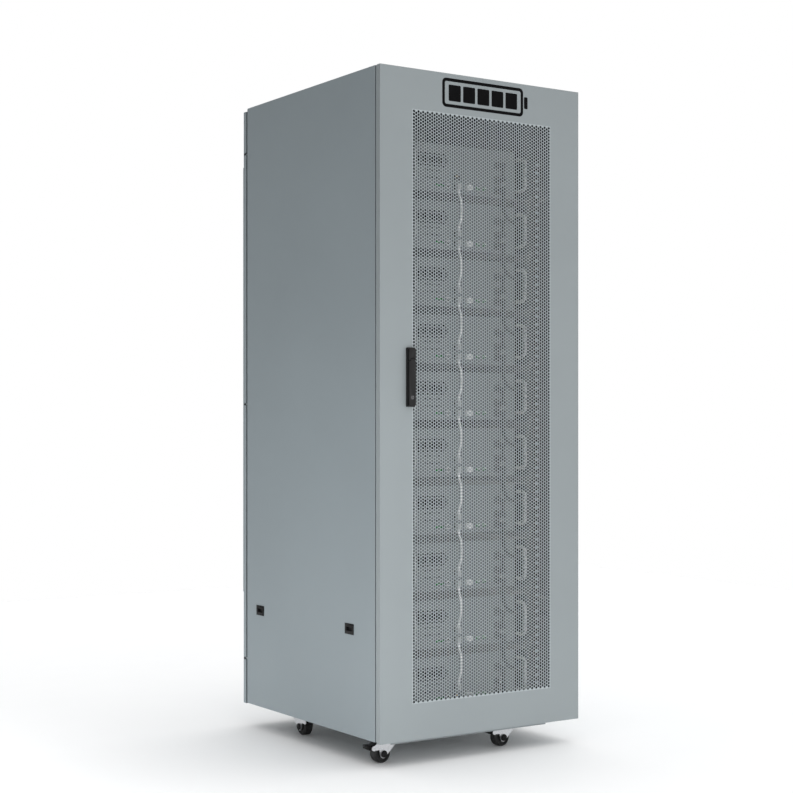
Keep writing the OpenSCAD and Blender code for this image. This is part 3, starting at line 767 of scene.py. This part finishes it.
def battery_mark(name, body, centre, size, y, bars):
    """A plain battery sign: outline, terminal and charge bars."""
    (cx, cz), (width, height) = centre, size
    line = height * 0.11                       # width of the outline, and of the gap inside it
    fine = height * 0.04                       # corner radius of the terminal and the bars
    front = y - INK_T
    s = Solids()
    outer = rounded_loop(width, height, height * 0.16, centre)
    inner = rounded_loop(width - 2 * line, height - 2 * line, height * 0.07, centre)
    s.frame(outer, inner, "Y", front, y, ink)
    terminal = rounded_loop(height * 0.16, height * 0.42, fine, (cx + width / 2 + height * 0.12, cz))
    s.prism(terminal, "Y", front, y, ink)
    room = width - 4 * line
    pitch = room / bars
    for k in range(bars):
        x = cx - room / 2 + pitch * (k + 0.5)
        bar = rounded_loop(pitch - line * 0.9, height - 4 * line, fine, (x, cz))
        s.prism(bar, "Y", front, y, ink)
    s.done(name, body)


def label_rows(i):
    """Two rows of plain dashes under a module's battery sign."""
    s = Solids()
    for z in DASH_ROWS:
        for x, width in DASHES:
            dash = rounded_loop(width, 0.0035, 0.001, (x, module_floor(i) + z))
            s.prism(dash, "Y", FACE_Y - INK_T, FACE_Y, grey_ink)
    s.done(f"label_rows_{i:02d}", "cabinet")


# ---------- module fronts ----------

def socket(s, x, z, y):
    """A network socket: a raised rim, a back plate and eight contacts under the rim's upper side."""
    half_x, half_z = 0.0058, 0.0043            # of the opening
    pitch, half_contact = 0.00102, 0.00025
    outer = rounded_loop(0.0155, 0.0135, 0.0012, (x, z))
    inner = rounded_loop(2 * half_x, 2 * half_z, 0.0004, (x, z))
    s.frame(outer, inner, "Y", y - 0.0022, y, black_plastic)
    s.box((x - half_x, y - 0.0003, z - half_z), (x + half_x, y, z + half_z), black_plastic)
    for k in range(8):
        cx = x + (k - 3.5) * pitch
        s.box((cx - half_contact, y - 0.0016, z + 0.001), (cx + half_contact, y - 0.0002, z + half_z), gold)


def white_connector(s, x, z, y):
    """A square connector with three blades in its recess."""
    pitch, half_x, half_z = 0.0034, 0.0011, 0.003    # of the blades
    outer = rounded_loop(0.014, 0.012, 0.0012, (x, z))
    inner = rounded_loop(0.0112, 0.0092, 0.0008, (x, z))
    s.frame(outer, inner, "Y", y - 0.009, y, white_plastic)
    s.prism(inner, "Y", y - 0.0045, y, white_plastic)
    for k in (-1, 0, 1):
        cx = x + k * pitch
        s.box((cx - half_x, y - 0.0078, z - half_z), (cx + half_x, y - 0.004, z + half_z), steel, 0.0002)


def green_connector(s, x, z, y):
    """A two-way screw terminal: a screw above each wire's entry."""
    half_x, out, half_z = 0.005, 0.006, 0.004
    half_entry = 0.0013
    screw = [(0, 0.0004), (0.0014, 0.0004), (0.0015, 0), (0, 0)]
    s.box((x - half_x, y - out, z - half_z), (x + half_x, y, z + half_z), green_plastic, 0.0005)
    for k in (-1, 1):
        cx = x + k * half_x / 2
        s.lathe(screw, (cx, y - out, z + 0.0018), FORWARD, steel, 16)
        entry = (cx - half_entry, y - 0.0063, z - 0.003), (cx + half_entry, y - 0.0059, z - 0.0004)
        s.box(*entry, black_plastic)


def module_front_details(i):
    """Two network sockets, a white and two green connectors, four lit lenses and the button's bezel."""
    floor = module_floor(i)
    low, high = floor + LOW_Z, floor + HIGH_Z
    s = Solids()
    socket(s, PORT_X, low, FACE_Y)
    socket(s, PORT_X, high, FACE_Y)
    white_connector(s, PLUG_X, low, FACE_Y)
    for x in GREEN_X:
        green_connector(s, x, low, FACE_Y)
    strip = rounded_loop(0.026, 0.0062, 0.0015, (sum(LENS_X) / len(LENS_X), low))
    s.prism(strip, "Y", FACE_Y - 0.0006, FACE_Y, lens_green, 0.0002)
    dome = [(0, 0), (0.0023, 0), (0.0023, 0.0006), (0.0018, 0.0012), (0.0010, 0.0015), (0, 0.0016)]
    for x in LENS_X:
        s.lathe(dome, (x, FACE_Y - 0.0005, low), FORWARD, green_glow, 16)
    bezel = [(0.0043, 0), (0.0043, 0.0008), (0.0052, 0.0010), (0.0058, 0.0004), (0.0058, 0)]
    s.lathe(bezel, (BUTTON_X, FACE_Y, low), FORWARD, steel, 24)
    s.done(f"module_sockets_{i:02d}", "cabinet", shared_node("module_ports", i))


def faceplate_screws(i):
    """Screws at the four corners of a module's front, each with a round recess in its head."""
    lo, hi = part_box("module_faceplates")
    floor, height = module_floor(i), module_height(i)
    in_x, in_z = 0.006, 0.009                  # from the front's edges
    head = [(0, 0.0009), (0.0008, 0.0009), (0.0009, 0.0019), (0.0021, 0.0018), (0.0031, 0.0012),
            (0.0035, 0), (0, 0)]
    s = Solids()
    for x in (lo.x + in_x, hi.x - in_x):
        for z in (floor + in_z, floor + height - in_z):
            s.lathe(head, (x, FACE_Y - 0.0004, z), FORWARD, steel, 24)
    s.done(f"faceplate_screws_{i:02d}", "cabinet", ())


def power_terminals(i):
    """Three round power sockets on square flanges."""
    barrel = [(0.0052, 0.006), (0.0052, TERMINAL_OUT - 0.0005), (0.0058, TERMINAL_OUT),
              (0.0070, TERMINAL_OUT), (0.0075, TERMINAL_OUT - 0.0006), (0.0075, 0.0105),
              (0.0070, 0.0100), (0.0070, 0.0085), (0.0075, 0.0080), (0.0075, 0.0028), (0.0052, 0.0028)]
    pin = [(0, 0.002), (0.0030, 0.002), (0.0030, 0.0135), (0.0024, 0.0145), (0, 0.0145)]
    screw = [(0, 0.0006), (0.0011, 0.0006), (0.0014, 0), (0, 0)]
    screw_at = 0.0085                          # from the terminal's middle, along x and along z
    flange_t = 0.003
    s = Solids()
    for above in TERMINAL_Z:
        x, z = TERMINAL_X, module_floor(i) + above
        flange = rounded_loop(0.0215, 0.0215, 0.003, (x, z))
        s.prism(flange, "Y", FACE_Y - flange_t, FACE_Y, terminal_plastic, 0.0006)
        s.lathe(barrel, (x, FACE_Y, z), FORWARD, terminal_plastic, 32)
        s.lathe(pin, (x, FACE_Y, z), FORWARD, steel, 24)
        for k in (-1, 1):
            s.lathe(screw, (x + k * screw_at, FACE_Y - flange_t, z + k * screw_at), FORWARD, steel, 16)
    s.done(f"power_terminals_{i:02d}", "cabinet", shared_node("module_terminals", i))


def fan(s, x, y, z):
    """A square fan with rings of wire on four spokes, screwed on at the spokes' ends."""
    s.prism(rounded_loop(0.086, 0.086, 0.008, (x, z)), "Y", y, y + 0.0015, black_plastic, 0.0004)
    for r in (0.037, 0.029, 0.021, 0.013):
        wire = [(r - 0.0008, 0.0028), (r, 0.0020), (r + 0.0008, 0.0028), (r, 0.0036)]
        s.lathe(wire, (x, y, z), BACKWARD, steel, 40)
    hub = [(0, 0.0034), (0.0080, 0.0034), (0.0092, 0.0026), (0.0092, 0), (0, 0)]
    s.lathe(hub, (x, y, z), BACKWARD, steel, 32)
    screw = [(0, 0.0042), (0.0022, 0.0040), (0.0030, 0.0028), (0.0030, 0), (0, 0)]
    near, far, half = 0.008, 0.050, 0.0009     # a spoke's ends from the hub's middle, and half its width
    for k in range(4):
        turn = math.radians(45 + 90 * k)
        dx, dz = math.cos(turn), math.sin(turn)
        spoke = [(x + a * dx - b * dz, z + a * dz + b * dx)
                 for a, b in ((near, -half), (far, -half), (far, half), (near, half))]
        s.prism(spoke, "Y", y + 0.0012, y + 0.0030, steel)
        s.lathe(screw, (x + far * dx, y, z + far * dz), BACKWARD, steel, 16)


def module_back(i):
    """Two guarded fans and a block of raised louvres on the back of a module's case."""
    lo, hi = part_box(f"battery_module_{i:02d}")
    y, mid = hi.y, (lo.z + hi.z) / 2
    s = Solids()
    for x in (-FAN_X, FAN_X):
        fan(s, x, y, mid)
    pitch, half_x = 0.011, 0.045               # of the louvres
    for k in range(-3, 4):
        z = mid + k * pitch
        louvre = [(y, z + 0.003), (y + 0.0024, z - 0.001), (y + 0.0018, z - 0.0022), (y, z - 0.0022)]
        s.prism(louvre, "X", -half_x, half_x, case_paint)
    s.done(f"module_back_{i:02d}", "cabinet", ())


def module_ears(i):
    """Dark plates on both ends of a module's front, behind the grab handles."""
    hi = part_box("module_faceplates")[1]
    floor, height = module_floor(i), module_height(i)
    s = Solids()
    for side in (-1, 1):
        loop = rounded_loop(hi.x - EAR_X, height, 0.0015, (side * (hi.x + EAR_X) / 2, floor + height / 2))
        s.prism(loop, "Y", FACE_Y - 0.0005, FACE_Y, ear_paint)
    s.done(f"module_ears_{i:02d}", "cabinet", ())


def duct_fingers():
    """Fingers of the slotted wiring duct, over the front of the trunk."""
    lo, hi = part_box("cable_trunk")
    front = LEAD_Y - 0.006
    left, right = 0.2045, 0.2155
    lowest, pitch, height = 0.008, 0.0202, 0.0064
    s = Solids()
    for k in range(int((hi.z - lo.z) / pitch)):
        z = lo.z + lowest + k * pitch
        s.box((left, front - 0.0012, z), (right, front + 0.0004, z + height), duct_plastic, 0.0004)
    s.done("duct_fingers", "cabinet", ())


# ---------- leads ----------

def patch_boot(s, z, way):
    """Angled plug: nose in the socket, body along the face, release tab, and a ribbed boot up or down."""
    x = PORT_X
    near = FACE_Y - PLUG_NEAR
    half = PLUG_HEIGHT / 2
    half_x, half_nose = 0.0055, 0.0043
    s.box((x - half_x, near - PLUG_DEPTH, z - half), (x + half_x, near, z + half), clear_plastic, 0.0008)
    nose_lo = (x - half_x, near - 0.001, z - half_nose)
    nose_hi = (x + half_x, FACE_Y - 0.0012, z + half_nose)
    s.box(nose_lo, nose_hi, clear_plastic)
    tab_lo = (x - 0.0028, near - PLUG_DEPTH - 0.0012, z - 0.0045)
    tab_hi = (x + 0.0028, near - PLUG_DEPTH + 0.0004, z + 0.0035)
    s.box(tab_lo, tab_hi, clear_plastic, 0.0003)
    rib = []
    for k in range(4):
        h = half - 0.0005 + k * 0.0022
        r = 0.0045 - k * 0.0003
        rib += [(r, h), (r, h + 0.0012), (r - 0.0007, h + 0.0014), (r - 0.0007, h + 0.0020)]
    boot = [(0, half - 0.001)] + rib + [(PATCH_R + 0.0002, half + 0.0095), (0, half + 0.0095)]
    s.lathe(boot, (x, FACE_Y - PATCH_OUT - 0.0006, z), (0, 0, way), boot_plastic, 24)


def patch_lead(i):
    """White lead from the lower socket of module i to the upper socket of the one below."""
    top = module_floor(i) + LOW_Z
    bottom = module_floor(i + 1) + HIGH_Z
    s = Solids()
    patch_boot(s, top, -1)
    patch_boot(s, bottom, 1)
    plugs = s.done(f"patch_plugs_{i:02d}", "cabinet", shared_node("patch_cables", i))
    start, end = top - PLUG_HEIGHT / 2 + 0.001, bottom + PLUG_HEIGHT / 2 - 0.001
    sway = 0.003 + 0.0015 * math.sin(i * 2.1)  # sideways, a little different on each lead
    points = []
    for k in range(PATCH_STEPS + 1):
        t = k / PATCH_STEPS
        out = PATCH_OUT + PATCH_BOW * (1 - (2 * t - 1) ** 2)
        x = PORT_X + sway * math.sin(math.pi * t) ** 2
        points.append(Vector((x, FACE_Y - out, start + (end - start) * t)))
    cable(f"patch_lead_{i:02d}", points, PATCH_R, white_jacket, "cabinet")


def plug_cap(s, z):
    """Round cap of an angled power plug."""
    cap = [(0, -0.012), (0.0066, -0.012), (0.0074, -0.0112), (0.0075, -0.0015), (0.0070, -0.0010),
           (0.0070, 0.0), (0, 0.0)]
    s.lathe(cap, (TERMINAL_X, LEAD_Y + 0.006, z), BACKWARD, terminal_plastic, 32)


def power_lead(i):
    """Black lead from a terminal, down through a loop and up into the wiring trunk.

    It starts at the lowest terminal, and a link joins the two upper ones. On the last module it starts at the
    top terminal, and there is no link.
    """
    floor = module_floor(i)
    last = i == MODULES
    z_plug = floor + TERMINAL_Z[2 if last else 0]
    z_loop = floor + (LAST_LOOP_Z if last else LOOP_Z)
    s = Solids()
    plug_cap(s, z_plug)
    if not last:
        low, high = floor + TERMINAL_Z[1], floor + TERMINAL_Z[2]
        plug_cap(s, low)
        plug_cap(s, high)
        link = [(0, 0.004), (0.0060, 0.004), (0.0060, 0.011), (LEAD_R, 0.0125)]
        back = [(r, high - low - h) for r, h in reversed(link)]
        s.lathe(link + back, (TERMINAL_X, LEAD_Y, low), UP, terminal_plastic, 24)
    sleeve = [(0, -0.004), (0.0060, -0.004), (0.0062, -0.016), (0.0058, -0.018), (0.0058, -0.020),
              (0.0055, -0.0205), (0.0055, -0.0235), (0.0052, -0.024), (0.0051, -0.028), (0, -0.028)]
    s.lathe(sleeve, (LEAD_X, LEAD_Y, z_plug), UP, terminal_plastic, 24)
    plug = s.done(f"power_plug_{i:02d}", "cabinet", shared_node("power_cables", i))
    right = (1, 0, 0)
    z_out = z_plug - 0.016
    points = [Vector((LEAD_X, LEAD_Y, z_out - k * (z_out - z_loop) / 4)) for k in range(4)]
    points += arc((LEAD_X + LOOP_R, LEAD_Y, z_loop), right, UP, LOOP_R, 180, 360, 24)
    turn_x = LEAD_X + 2 * LOOP_R + LEAD_TURN
    points += arc((turn_x, LEAD_Y, z_loop), right, UP, LEAD_TURN, 180, 180 - LEAD_TURN_BY, 8)[1:]
    cable(f"power_lead_{i:02d}", points, LEAD_R, lead_rubber, "cabinet")


# ---------- casters ----------

def axle_caps(corner):
    """Caps over both ends of a wheel's axle, which lies along Y in front and along X at the rear."""
    fork_lo, fork_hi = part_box(f"caster_fork_{corner}")
    wheel_lo, wheel_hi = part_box(f"caster_wheel_{corner}")
    middle = (wheel_lo + wheel_hi) / 2
    across = Vector((0, 1, 0)) if corner[0] == "f" else Vector((1, 0, 0))
    half = (fork_hi - fork_lo).dot(across) / 2
    cap = [(0, -0.0005), (0.0084, -0.0005), (0.0086, 0.0002), (0.0080, 0.0014), (0.0055, 0.0024), (0, 0.0027)]
    s = Solids()
    for sign in (-1, 1):
        s.lathe(cap, middle + across * sign * (half - 0.0006), across * sign, latch_plastic, 32)
    s.done(f"axle_caps_{corner}", f"caster_fork_{corner}", ())


# ---------- the rest of the shell ----------

def rear_louvres():
    """Rows of pressed louvres on the rear door's raised field."""
    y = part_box("rear_door")[1].y
    s = Solids()
    width, height, out = 0.150, 0.010, 0.0028
    lowest, pitch_x, pitch_z, rows = 0.42, 0.180, 0.034, 30
    profile = [(0.0, 0.0), (0.0, out), (height * 0.35, out * 0.8), (height * 0.7, out * 0.42), (height, 0.0)]
    for column in (-1, 0, 1):
        for row in range(rows):
            x = column * pitch_x
            z = lowest + row * pitch_z
            loop = [(y + b, z + a) for a, b in profile]
            s.prism(loop, "X", x - width / 2, x + width / 2, shell_paint)
    s.done("rear_louvres", "rear_door", ())


# ---------- build ----------

make_camera()
make_world(left=0.0, right=1.14, above=1.0)
area_light("low_left", place=(-1.4, 0.1, 0.1), target=(0, 0.1, 0.05), size=(1.6, 0.2), power=3.4)
area_light("low_front", place=(-0.8, -1.5, 0.4), target=(-0.2, -0.3, 0.5), size=(1.0, 0.6), power=5)

half_floor = FLOOR_SIZE / 2
floor_slab = Solids()
floor_slab.box((-half_floor, -half_floor, -FLOOR_T), (half_floor, half_floor, 0), studio_floor())
floor_slab.made("floor")

dress(["front_door"], shell_paint)
dress(["side_panel_left", "side_panel_right", "roof_cover", "rear_door"], shaded_panel_paint)
dress(["base_pan"], frame_paint)
dress(["cabinet_frame"], ring_paint_painted_light_and_shade)
dress(["rack_rails", "shelf_brackets"], ear_paint)
dress(["key_plug"], lock_metal)
dress(["caster_plates", "rear_lock"], zinc)
dress([f"caster_fork_{c}" for c in CORNERS], zinc)
dress(["handle_base", "handle_hub", "handle_lever"], black_plastic, SOFT_BEVEL)
dress(["cable_trunk"], ear_paint)
dress([n for n in nodes if n.startswith("side_latch")], latch_plastic, FINE_BEVEL)
dress([f"brake_pedal_{c}" for c in CORNERS], latch_plastic, SOFT_BEVEL)
dress([f"caster_wheel_{c}" for c in CORNERS], tread_rubber)
dress(["module_cells"], film_blue)
dress(["module_faceplates"], module_paint)
dress(["module_handles"], grip_metal)
dress([f"battery_module_{i:02d}" for i in range(1, MODULES + 1)], case_paint)
dress([f"module_button_{i:02d}" for i in range(1, MODULES + 1)], black_plastic, FINE_BEVEL)

perforated_door()
band_middle = (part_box("front_door_mesh")[1].z + DOOR_TOP) / 2 + 0.002
battery_mark("door_mark", "front_door", (0, band_middle), DOOR_MARK, DOOR_Y, bars=5)

for i in range(1, MODULES + 1):
    module_front_details(i)
    faceplate_screws(i)
    module_ears(i)
    module_back(i)
    power_terminals(i)
    mark_at = (MODULE_MARK_AT[0], module_floor(i) + MODULE_MARK_AT[1])
    battery_mark(f"module_mark_{i:02d}", "cabinet", mark_at, MODULE_MARK, FACE_Y, bars=6)
    label_rows(i)
    power_lead(i)
    if i < MODULES:
        patch_lead(i)

for corner in CORNERS:
    axle_caps(corner)

duct_fingers()
rear_louvres()
